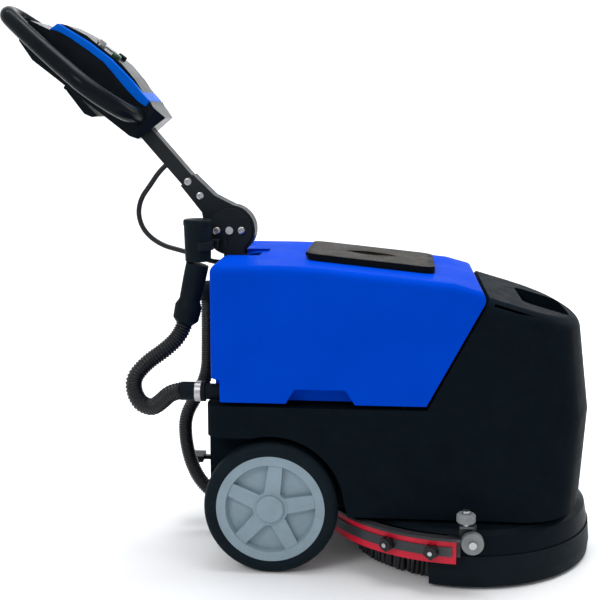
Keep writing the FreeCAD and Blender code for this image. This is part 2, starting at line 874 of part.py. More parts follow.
rounded_box(
    battery_sketch,
    BatteryBayRearX - 4,
    BatteryBayFrontX + 4,
    -BatteryBayHalfWidth - 4,
    BatteryBayHalfWidth + 4,
    8,
)
pocket(tank, battery_sketch, 72, reverse=True)
mouth_sketch = new_sketch(tank, "XY_Plane", TankShoulderZ + 5)
rounded_box(
    mouth_sketch, LidRearX + 22, LidFrontX - 22, -LidHalfWidth + 20, LidHalfWidth - 20, 30
)
pocket(tank, mouth_sketch, 70)
tank_space = [
    box("tank_space_middle", (ChannelFrontX + TankWall, 290), (-199, 199), (403, 538)),
    box("tank_space_right", (-87, 262), (-199, -131), (372, 538)),
    box("tank_space_left", (-103, 262), (131, 199), (360, 538)),
    box("tank_space_rear_right", (-103, 0), (-131, -41), (403, 538)),
    box("tank_space_rear_left", (-103, 0), (41, 131), (403, 538)),
]
finish(cut("recovery_tank", tank, fused("tank_space", tank_space)), "recovery_tank")

lid = new_body("recovery_lid")
lid_sketch = new_sketch(lid, "XZ_Plane")
lid_gap = 0.4
LidRise = LidThickness + 4
LidBarrelZ = tank_top(LidRearX) + 6
LidBarrelWidth = 120
outline(
    lid_sketch,
    [
        (LidRearX, tank_top(LidRearX) + lid_gap),
        (LidFrontX, tank_top(LidFrontX) + lid_gap),
        (LidFrontX, tank_top(LidFrontX) + LidRise),
        (LidRearX, tank_top(LidRearX) + LidRise),
    ],
)
lid_block = pad(lid, lid_sketch, LidHalfWidth * 2, symmetric=True)
lid_round = fillet(
    lid,
    lid_block,
    24,
    lambda middle, edge: abs(edge.tangentAt(edge.ParameterRange[0]).z) > 0.9,
)
finger_sketch = new_sketch(lid, "XY_Plane", tank_top(LidRearX) + LidRise + 1)
outline(finger_sketch, [(128, 0), (178, 24, 0), (228, 0), (178, -24, 0)])
pocket(lid, finger_sketch, 19)
barrel_sketch = new_sketch(lid, "XZ_Plane")
circle(barrel_sketch, LidRearX, LidBarrelZ, 5)
pad(lid, barrel_sketch, LidBarrelWidth, symmetric=True)
finish(lid, "recovery_lid")

turned(
    "float_valve",
    [(0, 448), (24, 448), (24, 500), (6, 506), (6, 530), (0, 530)],
    x=120,
    y=0,
)

# suction inlet elbow on the tank's rear wall
InletX = -156
InletY = 50
InletZ = 492
InletRadius = 19
elbow_pieces = [
    cylinder("inlet_run", InletRadius, (InletX, InletY, InletZ), TankRearX - InletX, "X"),
    cylinder("inlet_drop", InletRadius, (InletX, InletY, InletZ - 20), 20),
]
knuckle = doc.addObject("Part::Sphere", "inlet_knuckle")
knuckle.Radius = InletRadius
knuckle.Placement.Base = Vector(InletX, InletY, InletZ)
finish(fused("inlet_elbow", elbow_pieces + [knuckle]), "inlet_elbow")

# drain fitting, its clamp, the hose and the cap at its upper end
turned(
    "drain_fitting",
    [(0, 0), (15, 0), (15, 12), (19, 12), (19, 20), (15, 20), (15, 52), (0, 52)],
    x=-145,
    y=DrainY,
    z=DrainZ,
    axis="X",
)
turned(
    "hose_clamp",
    ring_profile(17.5, 19, 0, 11),
    x=-144,
    y=DrainY,
    z=DrainZ,
    axis="X",
)
DrainHoseEndX = -172
turned(
    "drain_hose_end",
    [(0, 0), (17.5, 0), (17.5, 36), (15, 36), (15, 27), (0, 27)],
    x=DrainHoseEndX,
    y=DrainY,
    z=DrainZ,
    axis="X",
)
DrainCapX = -152
DrainCapY = -75
DrainCapBottomZ = 568
turned(
    "drain_cap",
    [
        (0, 0),
        (24.5, 0),
        (26.5, 68),
        (27.5, 70),
        (27.5, 77),
        (25.5, 80),
        (0, 80),
    ],
    x=DrainCapX,
    y=DrainCapY,
    z=DrainCapBottomZ,
)
CuffLean = 13
CuffLength = 124
cuff = new_body("drain_cuff")
cuff_sketch = new_sketch(cuff, "XZ_Plane")
outline(
    cuff_sketch,
    [
        (0, 0),
        (18, 0),
        (25, 8),
        (26, 34),
        (23, 40),
        (20.5, 46),
        (22, 92),
        (22, 118),
        (0, 118),
    ],
)
revolve(cuff, cuff_sketch)
cuff.Placement.Rotation = FreeCAD.Rotation(Vector(0, 1, 0), CuffLean)
cuff_foot_x = DrainCapX - CuffLength * math.sin(math.radians(CuffLean))
cuff_foot_z = DrainCapBottomZ - CuffLength * math.cos(math.radians(CuffLean))
finish(cuff, "drain_cuff", cuff_foot_x, DrainCapY, cuff_foot_z)

drain_route = [
    (cuff_foot_x, -75, cuff_foot_z),
    (-188, -80, 424),
    (-214, -92, 398),
    (-251, -104, 373),
    (-277, -117, 341),
    (-264, -131, 303),
    (-234, -143, 293),
    (-211, -154, 311),
    (-192, -163, 331),
    (DrainHoseEndX, DrainY, DrainZ),
]
hose("drain_hose", drain_route, DrainHoseDiameter)

SqueegeeInletX = 48
SqueegeeInletZ = 84
suction_route = [
    (InletX, InletY, InletZ - 20 - JointGap),
    (InletX, InletY, 430),
    (-157, 50, 372),
    (-158, 49, 322),
    (-177, 45, 277),
    (-203, 37, 234),
    (-204, 30, 189),
    (-193, 21, 141),
    (-172, 11, 101),
    (-137, 3, 72),
    (-91, 0, 62),
    (-42, 0, 66),
    (6, 0, SqueegeeInletZ),
    (SqueegeeInletX - JointGap, 0, SqueegeeInletZ),
]
hose("suction_hose", suction_route, SuctionHoseDiameter)

# ---- brush, deck and the machinery inside the shell ----
curved = [
    (DeckRadius - 6, DeckRidgeZ - 8),
    (DeckRadius - 1, DeckRidgeZ - 8),
    (DeckRadius, DeckRidgeZ),
    (DeckRadius - 6, DeckTopZ - 8),
    (DeckRadius - 18, DeckTopZ),
    (60, DeckTopZ),
    (60, DeckTopZ - 6),
    (DeckRadius - 18, DeckTopZ - 6),
    (DeckRadius - 12, DeckRidgeZ),
]
turned("deck_housing", curved, x=DeckX)
skirt = curved_wall(
    "deck_skirt",
    [
        (DeckRadius - 0.6, DeckRidgeZ - 8),
        (DeckRadius + 2, DeckRidgeZ - 2),
        (SkirtRadius, 26),
        (SkirtRadius - 2, SkirtBottomZ),
        (SkirtRadius - 8, SkirtBottomZ),
        (SkirtRadius - 6, 26),
        (DeckRadius - 5, DeckRidgeZ - 8.3),
    ],
    SkirtHalfAngle,
    0,
)
finish(skirt, "deck_skirt", DeckX)

turned(
    "bristles",
    [
        (92, 0),
        (BrushRadius, 0),
        (BrushRadius - 6, BristleHeight),
        (98, BristleHeight),
    ],
    x=DeckX,
)
turned(
    "brush_plate",
    [
        (40, BristleHeight),
        (BrushRadius - 2, BristleHeight),
        (BrushRadius - 2, BristleHeight + BrushPlateThickness),
        (40, BristleHeight + BrushPlateThickness),
    ],
    x=DeckX,
)
turned(
    "drive_hub",
    [
        (0, BristleHeight + 2),
        (40, BristleHeight + 2),
        (40, BristleHeight + BrushPlateThickness),
        (56, BristleHeight + BrushPlateThickness),
        (56, BristleHeight + BrushPlateThickness + 8),
        (20, BristleHeight + BrushPlateThickness + 16),
        (20, DeckTopZ - 0.5),
        (0, DeckTopZ - 0.5),
    ],
    x=DeckX,
)
turned(
    "brush_motor",
    [
        (0, DeckTopZ),
        (44, DeckTopZ),
        (BrushMotorRadius, DeckTopZ + 8),
        (BrushMotorRadius, 216),
        (40, 226),
        (0, 226),
    ],
    x=DeckX,
)
turned(
    "vacuum_motor",
    [(0, 168), (60, 168), (64, 176), (64, 204), (50, 208), (50, 248), (0, 254)],
    x=478,
)
battery_solids = []
for battery_x in (BatteryBayRearX + 4, BatteryBayRearX + 146):
    case = box(
        f"battery_{battery_x}",
        (battery_x, battery_x + 138),
        (-115, 115),
        (ShellFloorZ + ShellWall, ShellFloorZ + ShellWall + 200),
    )
    posts = [
        cylinder(f"terminal_{battery_x}_{y}", 8, (battery_x + 22, y, ShellFloorZ + ShellWall + 199), 13)
        for y in (-92, 92)
    ]
    battery_solids.append(fused(f"battery_{battery_x}", [case] + posts))
finish(group("batteries", battery_solids), "batteries")
valve_box = box("valve_box", (318, 352), (62, 96), (RailLowZ + 7, RailLowZ + 49))
valve_coil = cylinder("valve_coil", 14, (335, 79, RailLowZ + 49), 34)
finish(fused("solenoid_valve", [valve_box, valve_coil]), "solenoid_valve")
controller_x = 292
finish(
    box("controller", (controller_x, controller_x + 12), (-92, -20), (RailTopZ + 8, RailTopZ + 88)),
    "motor_controller",
    controller_x,
    -92,
    RailTopZ + 8,
)

# ---- squeegee, drawn raised off the floor ----
BladeBottomZ = SqueegeeLift
BladeTopZ = SqueegeeLift + BladeHeight
front_face = SqueegeeRadius
carrier_face = front_face + BladeThickness
rear_face = carrier_face + CarrierWidth
strip_face = rear_face + BladeThickness


def squeegee_wall(name, inner, outer, low, high, trim=0.0):
    wall = curved_wall(name, ring_profile(inner, outer, low, high), SqueegeeHalfAngle - trim, 180)
    return finish(wall, name, DeckX)


squeegee_wall("front_blade", front_face, carrier_face, BladeBottomZ + 2, BladeTopZ)
squeegee_wall("rear_blade", rear_face, strip_face, BladeBottomZ, BladeTopZ)
squeegee_wall("clamp_strip", strip_face, strip_face + 3, BladeBottomZ + 14, BladeTopZ - 10, 1.5)

carrier = curved_wall(
    "squeegee_carrier",
    [
        (carrier_face, BladeBottomZ + 12),
        (rear_face, BladeBottomZ + 12),
        (rear_face, BladeTopZ),
        (strip_face + 2, BladeTopZ),
        (strip_face + 2, BladeTopZ + 5),
        (front_face - 1, BladeTopZ + 5),
        (front_face - 1, BladeTopZ),
        (carrier_face, BladeTopZ),
    ],
    SqueegeeHalfAngle + 1.5,
    180,
)
bind(carrier, "Placement.Base.x", DeckX)
EndX = 356
EndY = 262
end_plates = []
for end_sign in (-1, 1):
    inner_y, outer_y = sorted((end_sign * (EndY - 6), end_sign * (EndY + 12)))
    end_plates.append(
        box(f"end_foot_{inner_y}", (EndX - 30, EndX - 9.5), (inner_y, outer_y), (BladeTopZ, BladeTopZ + 5))
    )
    arm_low, arm_high = sorted((end_sign * (EndY - 6), end_sign * EndY))
    end_plates.append(
        box(f"end_arm_{arm_low}", (EndX - 12, EndX + 18), (arm_low, arm_high), (86, 126))
    )
    shelf_low, shelf_high = sorted((end_sign * (EndY - 6), end_sign * (EndY + 14)))
    end_plates.append(
        box(f"end_shelf_{arm_low}", (EndX - 12, EndX + 12), (shelf_low, shelf_high), (124, 128))
    )
mount_plate = box("mount_plate", (80, 104), (-34, 34), (BladeTopZ + 1, BladeTopZ + 9))
carrier_union = fused("squeegee_carrier", [carrier, mount_plate] + end_plates)
finish(carrier_union, "squeegee_carrier")

turned(
    "hose_nozzle",
    [(0, 0), (18, 0), (18, 24), (22, 30), (0, 30)],
    x=SqueegeeInletX,
    z=SqueegeeInletZ,
    axis="X",
)

KnobRadius = 14
KnobDepth = 14
knob_angles = (103, 120, -120, -103)


def on_squeegee(radius, angle):
    """A point at a radius from the deck's centre, the angle measured from straight ahead."""
    turn = math.radians(angle)
    return (DeckX + radius * math.cos(turn), radius * math.sin(turn))


def knob_point(angle):
    return on_squeegee(strip_face + 3, angle)


knobs = []
knob_bolts = []
for knob_number, knob_angle in enumerate(knob_angles):
    knob = new_body(f"star_knob_{knob_number}")
    knob_sketch = new_sketch(knob, "XY_Plane")
    circle(knob_sketch, 0, 0, KnobRadius - 3)
    pad(knob, knob_sketch, KnobDepth)
    lobe_sketch = new_sketch(knob, "XY_Plane")
    circle(lobe_sketch, KnobRadius - 5, 0, 5)
    lobe = pad(knob, lobe_sketch, KnobDepth - 3)
    lobes = knob.newObject("PartDesign::PolarPattern", f"star_knob_{knob_number}_lobes")
    lobes.Originals = [lobe]
    lobes.Axis = (origin_plane(knob, "Z_Axis"), [""])
    lobes.Angle = 360
    lobes.Occurrences = 5
    knob.Tip = lobes
    knob_x, knob_y = knob_point(knob_angle)
    facing = FreeCAD.Rotation(Vector(0, 0, 1), knob_angle) * FreeCAD.Rotation(Vector(0, 1, 0), 90)
    knob.Placement = FreeCAD.Placement(Vector(knob_x, knob_y, SqueegeeLift + 23), facing)
    knobs.append(knob)
    bolt_x, bolt_y = on_squeegee(strip_face + 3 + KnobDepth, knob_angle)
    bolt = doc.addObject("Part::Cylinder", f"knob_bolt_{knob_number}")
    bolt.Radius = 4
    bolt.Height = 3
    bolt.Placement = FreeCAD.Placement(Vector(bolt_x, bolt_y, SqueegeeLift + 23), facing)
    knob_bolts.append(bolt)
finish(group("star_knobs", knobs), "star_knobs")

SupportWheelX = 367
SupportWheelZ = 96
BumperX = 355
BumperY = 268
BumperZ = 133
BumperRadius = 17
ShelfTopZ = 128
RollerRadius = RollerDiameter / 2
roller_bolts = []
for roller_side, roller_sign in (("right", -1), ("left", 1)):
    inner_face = EndY + 0.5
    low = inner_face if roller_sign > 0 else -(inner_face + RollerWidth)
    turned(
        f"support_wheel_{roller_side}",
        [
            (4 + RunningFit, 0),
            (RollerRadius - 2, 0),
            (RollerRadius, 2),
            (RollerRadius, RollerWidth - 2),
            (RollerRadius - 2, RollerWidth),
            (4 + RunningFit, RollerWidth),
        ],
        x=SupportWheelX,
        y=low,
        z=SupportWheelZ,
        axis="Y",
    )
    turned(
        f"bumper_roller_{roller_side}",
        [
            (4 + RunningFit, 0),
            (BumperRadius - 3, 0),
            (BumperRadius, 3),
            (BumperRadius, RollerWidth - 3),
            (BumperRadius - 3, RollerWidth),
            (4 + RunningFit, RollerWidth),
        ],
        x=BumperX,
        y=roller_sign * BumperY,
        z=BumperZ,
    )
    pin_length = RollerWidth + 1.5
    head_length = 5
    pin_start = EndY if roller_sign > 0 else -EndY - pin_length
    head_face = EndY + 1 + RollerWidth
    head_start = head_face if roller_sign > 0 else -head_face - head_length
    support_pin = cylinder(
        f"support_pin_{roller_side}", 4, (SupportWheelX, pin_start, SupportWheelZ), pin_length, "Y"
    )
    support_head = cylinder(
        f"support_head_{roller_side}", 7, (SupportWheelX, head_start, SupportWheelZ), head_length, "Y"
    )
    roller_bolts.append(fused(f"support_bolt_{roller_side}", [support_pin, support_head]))
    bumper_side = roller_sign * BumperY
    bumper_top = (BumperX, bumper_side, BumperZ + RollerWidth + 0.5)
    bumper_pieces = [
        cylinder(f"bumper_pin_{roller_side}", 4, (BumperX, bumper_side, ShelfTopZ), RollerWidth + 6),
        cylinder(f"bumper_washer_{roller_side}", 7, (BumperX, bumper_side, ShelfTopZ), 4.5),
        cylinder(f"bumper_head_{roller_side}", 7, bumper_top, head_length),
    ]
    roller_bolts.append(fused(f"bumper_bolt_{roller_side}", bumper_pieces))
finish(group("squeegee_bolts", knob_bolts + roller_bolts), "squeegee_bolts")

pedal_arm = box("pedal_arm", (-178, PedalX), (70, 82), (PedalZ - 4, PedalZ + 4))
pedal_pad = box("pedal_pad", (-206, -172), (54, 98), (PedalZ - 6, PedalZ + 7))
pedal_hub = cylinder("pedal_hub", 9, (PedalX, PedalEars[0][1] + 0.3, PedalZ), 19.4, "Y")
pedal_pin = cylinder("pedal_pin", PedalPinRadius, (PedalX, PedalEars[0][0], PedalZ), 32, "Y")
finish(fused("lift_pedal", [pedal_arm, pedal_pad, pedal_hub, pedal_pin]), "lift_pedal")

# ---- handle joint ----
CheekGap = MastHalfWidth
CheekThickness = 5
BoltHeadRadius = 7.5
PivotRadius = 6
cheeks = []
for cheek_sign in (-1, 1):
    cheek = new_body(f"cheek_{cheek_sign}")
    cheek_middle = cheek_sign * (CheekGap + CheekThickness / 2)
    disc_sketch = new_sketch(cheek, "XZ_Plane", -cheek_middle)
    circle(disc_sketch, HingeX, HingeZ, CheekRadius)
    pad(cheek, disc_sketch, CheekThickness, symmetric=True)
    leg_sketch = new_sketch(cheek, "XZ_Plane", -cheek_middle)
    outline(
        leg_sketch,
        [
            (MastRearX, MastTopZ - 44),
            (MastFrontX, MastTopZ - 44),
            (MastFrontX, HingeZ),
            (MastRearX, HingeZ),
        ],
    )
    pad(cheek, leg_sketch, CheekThickness, symmetric=True)
    hole_sketch = new_sketch(cheek, "XZ_Plane", -cheek_middle)
    circle(hole_sketch, HingeX, HingeZ, PivotRadius + RunningFit)
    pocket(cheek, hole_sketch, CheekThickness + 2, symmetric=True)
    cheeks.append(cheek)
finish(group("cheek_plates", cheeks), "cheek_plates")

CheekFaceY = CheekGap + CheekThickness
pivot_pieces = [
    cylinder("pivot_shank", PivotRadius, (HingeX, -CheekFaceY, HingeZ), 2 * CheekFaceY, "Y"),
    cylinder("pivot_head", BoltHeadRadius, (HingeX, -CheekFaceY - 5, HingeZ), 5, "Y"),
    cylinder("pivot_nut", BoltHeadRadius, (HingeX, CheekFaceY, HingeZ), 5, "Y"),
]
finish(fused("pivot_bolt", pivot_pieces), "pivot_bolt")
screw_places = ((HingeX + 23, HingeZ), (HingeX - 25, HingeZ - 1))
screws = []
for screw_number, (screw_x, screw_z) in enumerate(screw_places):
    for screw_sign, screw_y in ((-1, -CheekFaceY - 5), (1, CheekFaceY)):
        name = f"cheek_screw_{screw_number}_{screw_sign + 1}"
        screws.append(cylinder(name, BoltHeadRadius, (screw_x, screw_y, screw_z), 5, "Y"))
finish(group("cheek_screws", screws), "cheek_screws")

clip_ring = new_body("hose_clip_ring")
clip_sketch = new_sketch(clip_ring, "XZ_Plane")
outline(clip_sketch, ring_profile(27.2, 30, 22, 38))
clip_turn = revolve(clip_ring, clip_sketch)
clip_turn.Midplane = True
clip_turn.Angle = 160
clip_ring.Placement.Base = Vector(DrainCapX, DrainCapY, DrainCapBottomZ)
clip_height = (DrainCapBottomZ + 22, DrainCapBottomZ + 38)
clip_arm = box("clip_arm", (-131, -116), (DrainCapY + 18, -CheekFaceY), clip_height)
clip_foot = box("clip_foot", (-118, -104), (-CheekFaceY - 4, -CheekFaceY), clip_height)
finish(fused("hose_clip", [clip_ring, clip_arm, clip_foot]), "hose_clip")

# ---- handle, drawn flat and then tilted about the hinge ----
HandleRise = math.radians(HandleAngle)
TubeStart = 56
TubeEnd = 288
handle_turn = FreeCAD.Rotation(Vector(0, 1, 0), HandleAngle)
half_depth = HandleTubeDepth / 2
casting_width = 2 * CheekGap - 0.8

casting = new_body("hinge_casting")
head_sketch = new_sketch(casting, "XZ_Plane")
circle(head_sketch, 0, 0, HingeHeadRadius)
pad(casting, head_sketch, casting_width, symmetric=True)
neck_sketch = new_sketch(casting, "XZ_Plane")
neck_half = half_depth + 3
outline(
    neck_sketch,
    [
        (-30, -38),
        (-62, -neck_half - 3),
        (-128, -neck_half),
        (-128, neck_half),
        (-70, neck_half + 5),
        (-30, 38),
    ],
)
pad(casting, neck_sketch, casting_width, symmetric=True)
pin_sketch = new_sketch(casting, "XZ_Plane")
circle(pin_sketch, 0, 0, PivotRadius + RunningFit)
pocket(casting, pin_sketch, 80, symmetric=True)
socket_sketch = new_sketch(casting, "XZ_Plane")
outline(
    socket_sketch,
    [
        (-TubeStart, -half_depth),
        (-130, -half_depth),
        (-130, half_depth),
        (-TubeStart, half_depth),
    ],
)
pocket(casting, socket_sketch, HandleTubeWidth, symmetric=True)
casting.Placement.Rotation = handle_turn
finish(casting, "hinge_casting", HingeX, 0, HingeZ)

tube = new_body("handle_tube")
tube_sketch = new_sketch(tube, "XZ_Plane")
outline(
    tube_sketch,
    [
        (-TubeStart, -half_depth),
        (-TubeEnd, -half_depth),
        (-TubeEnd, half_depth),
        (-TubeStart, half_depth),
    ],
)
pad(tube, tube_sketch, HandleTubeWidth, symmetric=True)
hollow_sketch = new_sketch(tube, "XZ_Plane")
inner_depth = half_depth - 2.5
outline(
    hollow_sketch,
    [
        (-TubeStart + 5, -inner_depth),
        (-TubeEnd - 5, -inner_depth),
        (-TubeEnd - 5, inner_depth),
        (-TubeStart + 5, inner_depth),
    ],
)
pocket(tube, hollow_sketch, HandleTubeWidth - 5, symmetric=True)
tube.Placement.Rotation = handle_turn
finish(tube, "handle_tube", HingeX, 0, HingeZ)

tube_bolts = []
for bolt_number, along in enumerate((88, 124)):
    bolt_x = HingeX - along * math.cos(HandleRise)
    bolt_z = HingeZ + along * math.sin(HandleRise)
    for bolt_sign, bolt_y in ((-1, -casting_width / 2 - 4), (1, casting_width / 2)):
        name = f"tube_bolt_{bolt_number}_{bolt_sign + 1}"
        tube_bolts.append(cylinder(name, BoltHeadRadius, (bolt_x, bolt_y, bolt_z), 4, "Y"))
finish(group("tube_bolts", tube_bolts), "tube_bolts")

# ---- console, drawn flat: it runs back from its neck towards -X and is then tilted ----
console_turn = FreeCAD.Rotation(Vector(0, 1, 0), ConsoleAngle)
console_tilt = math.radians(ConsoleAngle)
ConsoleHalfWidth = 56


def tilt(obj, label):
    obj.Placement.Rotation = console_turn
    return finish(obj, label, NeckX, 0, NeckZ)


def console_slab(name, points, width):
    """A slab with a side outline of (distance back from the neck, height) points."""
    body = new_body(name)
    sketch = new_sketch(body, "XZ_Plane")
    outline(sketch, [(-back, height) for back, height in points])
    pad(body, sketch, width, symmetric=True)
    return body


def narrow(body, corner_x, inner_y, outer_x, outer_y):
    """Cut both front corners of a slab along a straight line in plan."""
    sketch = new_sketch(body, "XY_Plane", 100)
    for side in (-1, 1):
        outline(
            sketch,
            [(corner_x, side * inner_y), (corner_x, side * outer_y), (outer_x, side * outer_y)],
        )
    pocket(body, sketch, 200)


def on_console(along, aside):
    """A point of the handle tube's own drawing, given in the console's drawing."""
    x = HingeX - NeckX - along * math.cos(HandleRise) + aside * math.sin(HandleRise)
    z = HingeZ - NeckZ + along * math.sin(HandleRise) + aside * math.cos(HandleRise)
    return (
        x * math.cos(console_tilt) - z * math.sin(console_tilt),
        x * math.sin(console_tilt) + z * math.cos(console_tilt),
    )


# the trim stands on the shell along one line and carries the panel along another
trim_foot = [
    (261, 38),
    (246, 45),
    (219, 49),
    (179, 51),
    (142, 51),
    (118, 46),
    (81, 37),
    (47, 31),
    (28, 32),
]
panel_foot = [(51, 50), (80, 57), (114, 62), (134, 65), (187, 65), (226, 61), (254, 58)]

console = console_slab(
    "console_shell",
    [
        (-10, 36),
        (6, -26),
        (22, -31),
        (255, -28),
        (296, -14),
        (312, 8),
        (300, 30),
        *trim_foot,
        (28, 46),
        (18, 41),
    ],
    ConsoleHalfWidth * 2,
)
console_hollow = new_sketch(console, "XZ_Plane")
outline(
    console_hollow,
    [(-46, -25), (-252, -22), (-282, -8), (-288, 12), (-262, 32), (-127, 37), (-91, 28), (-46, 22)],
)
pocket(console, console_hollow, ConsoleHalfWidth * 2 - 10, symmetric=True)
entry_sketch = new_sketch(console, "XZ_Plane")
outline(
    entry_sketch,
    [
        on_console(200, -half_depth),
        on_console(TubeEnd, -half_depth),
        on_console(TubeEnd, half_depth),
        on_console(200, half_depth),
    ],
)
pocket(console, entry_sketch, HandleTubeWidth, symmetric=True)
narrow(console, 12, 32, -16, 60)
tilt(console, "console_shell")

trim = console_slab(
    "blue_trim",
    [*trim_foot, (28, 46), *panel_foot],
    ConsoleHalfWidth * 2 + 4,
)
narrow(trim, -28, 54, -48, 64)
tilt(trim, "blue_trim")

PanelHalfWidth = 46
PanelTopHeight = 71
panel = console_slab(
    "console_panel",
    [*panel_foot, (240, 64), (200, PanelTopHeight), (115, PanelTopHeight - 2), (76, 60)],
    PanelHalfWidth * 2,
)
KeyBack = 172
ButtonBack = 136
ButtonRadius = 9
KeyRadius = 9
pit_sketch = new_sketch(panel, "XY_Plane", 90)
circle(pit_sketch, -KeyBack, -22, KeyRadius + 0.4)
circle(pit_sketch, -ButtonBack, -22, ButtonRadius + 0.4)
circle(pit_sketch, -ButtonBack, 22, ButtonRadius + 0.4)
rounded_box(pit_sketch, -192, -154, 6, 38, 4)
pocket(panel, pit_sketch, 90 - 67)
tilt(panel, "console_panel")


def panel_piece(name, radius, back, side, top):
    """A round piece that stands in a pit of the panel."""
    body = new_body(name)
    sketch = new_sketch(body, "XY_Plane", 67.1)
    circle(sketch, -back, side, radius)
    pad(body, sketch, top - 67.1)
    return body


for button_side, button_y in (("right", -22), ("left", 22)):
    button = panel_piece(f"push_button_{button_side}", ButtonRadius, ButtonBack, button_y, 76)
    # the button floats above its pit's floor by its travel
    button_pit = new_sketch(button, "XY_Plane", 60)
    circle(button_pit, -ButtonBack, button_y, ButtonRadius + 2)
    pocket(button, button_pit, 9.6, reverse=True)
    tilt(button, f"push_button_{button_side}")
key = panel_piece("key_switch", KeyRadius, KeyBack, -22, 74)
bow_sketch = new_sketch(key, "XY_Plane", 74)
rounded_box(bow_sketch, -KeyBack - 7, -KeyBack + 7, -24, -20, 1)
pad(key, bow_sketch, 6)
tilt(key, "key_switch")
display = new_body("battery_display")
display_sketch = new_sketch(display, "XY_Plane", 67)
rounded_box(display_sketch, -191.6, -154.4, 6.4, 37.6, 4)
pad(display, display_sketch, PanelTopHeight + 0.6 - 67)
tilt(display, "battery_display")

# the hoop leaves the console's flanks near the neck and runs round behind it
HoopHeight = 8
hoop_half = [(30, -40), (46, -0.73 * HoopHalfWidth), (116, -HoopHalfWidth), (228, -108), (309, -58)]
hoop_tip = [(HoopLength, -25), (HoopLength, 25)]
hoop_other_half = [(back, -side) for back, side in reversed(hoop_half)]
hoop_path = route_wire(
    "hoop_grip",
    [(-back, side, HoopHeight) for back, side in hoop_half + hoop_tip + hoop_other_half],
)
hoop_start = Vector(-hoop_half[0][0], hoop_half[0][1], HoopHeight)
hoop_next = Vector(-hoop_half[1][0], hoop_half[1][1], HoopHeight)
hoop_section = Part.Wire(
    [Part.Circle(hoop_start, hoop_next - hoop_start, float(HoopTubeRadius)).toShape()]
)
hoop_tube = doc.addObject("Part::Feature", "hoop_tube")
hoop_tube.Shape = hoop_path.makePipeShell([hoop_section], True, False)
hoop_void = box(
    "hoop_void", (-312, 40), (-ConsoleHalfWidth - 0.1, ConsoleHalfWidth + 0.1), (-60, 100)
)
tilt(cut("hoop_grip", hoop_tube, hoop_void), "hoop_grip")

LeverPivotBack = 178
LeverPivotHeight = -34
lever = console_slab(
    "run_lever",
    [(LeverPivotBack, -30.5), (LeverPivotBack, -38), (172, -40), (122, -54), (106, -50), (98, -41.5)],
    64,
)
barrel_sketch = new_sketch(lever, "XZ_Plane")
circle(barrel_sketch, -LeverPivotBack, LeverPivotHeight, 4)
pad(lever, barrel_sketch, 76, symmetric=True)
tilt(lever, "run_lever")

cable_exit = Vector(HingeX, 0, HingeZ) + Vector(
    -178 * math.cos(HandleRise) - half_depth * math.sin(HandleRise),
    0,
    178 * math.sin(HandleRise) - half_depth * math.cos(HandleRise),
)
cable_route = [
    tuple(cable_exit),
    (cable_exit.x - 20 * math.sin(HandleRise), 0, cable_exit.z - 20 * math.cos(HandleRise)),
    (-258, 0, 708),
    (-279, 0, 680),
    (-285, 0, 646),
    (-271, 0, 612),
    (-238, 0, 588),
    (-198, 0, 578),
    (-161, 0, 567),
    (-137, 0, GlandZ),
    (GlandX - JointGap, 0, GlandZ),
]
hose("handle_cable", cable_route, HandleCableDiameter)


# ---- check every object, then write the sub-parts ----
doc.recompute()
for obj in doc.Objects:
    if "Invalid" in obj.State or "Error" in obj.State:
        raise RuntimeError(f"{obj.Name} is {obj.State}")
os.makedirs("parts", exist_ok=True)
for part in parts:
    if part.Shape.isNull() or not part.Shape.isValid():
        raise RuntimeError(f"{part.Label} has no valid shape")
    part.Shape.exportStep(os.path.join("parts", f"{part.Label}.step"))
print(f"{len(parts)} sub-parts")
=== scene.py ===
import math
import random

import bmesh
import bpy
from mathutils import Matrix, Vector
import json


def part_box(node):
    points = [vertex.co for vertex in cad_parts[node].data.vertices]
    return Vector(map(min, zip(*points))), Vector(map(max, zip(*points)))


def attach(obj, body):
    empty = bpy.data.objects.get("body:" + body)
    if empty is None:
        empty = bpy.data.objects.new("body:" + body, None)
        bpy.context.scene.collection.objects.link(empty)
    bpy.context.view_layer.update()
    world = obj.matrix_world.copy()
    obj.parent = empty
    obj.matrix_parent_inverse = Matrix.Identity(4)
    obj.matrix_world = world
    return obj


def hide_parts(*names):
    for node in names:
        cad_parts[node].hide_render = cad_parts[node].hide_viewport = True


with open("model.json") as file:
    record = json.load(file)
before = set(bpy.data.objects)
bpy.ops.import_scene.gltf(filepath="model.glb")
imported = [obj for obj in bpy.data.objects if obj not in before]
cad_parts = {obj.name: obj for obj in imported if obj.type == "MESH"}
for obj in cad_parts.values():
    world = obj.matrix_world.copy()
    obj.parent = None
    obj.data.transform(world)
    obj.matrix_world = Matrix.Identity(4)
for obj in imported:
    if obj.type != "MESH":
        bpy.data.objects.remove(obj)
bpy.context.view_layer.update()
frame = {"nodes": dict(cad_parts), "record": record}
record = frame["record"]
body_of = {node: body for body, nodes in record["behaviour"]["bodies"].items() for node in nodes}
slot_of = {entry["node"]: entry["material_slot"] for entry in record["subparts"]}

AXLE_X = -0.03535


def place(x, y, z):
    """A point given in millimetres from the floor below the wheel axle."""
    return Vector((x / 1000 + AXLE_X, y / 1000, z / 1000))


# ---- camera ----
camera = bpy.data.objects.new("camera", bpy.data.cameras.new("camera"))
camera.data.lens = 66
camera.data.sensor_width = 36
camera.data.clip_end = 50
camera.location = place(224, -2138, 847)
camera.rotation_euler = (math.radians(90 - 9.65), 0, math.radians(5))
bpy.context.collection.objects.link(camera)
bpy.context.scene.camera = camera

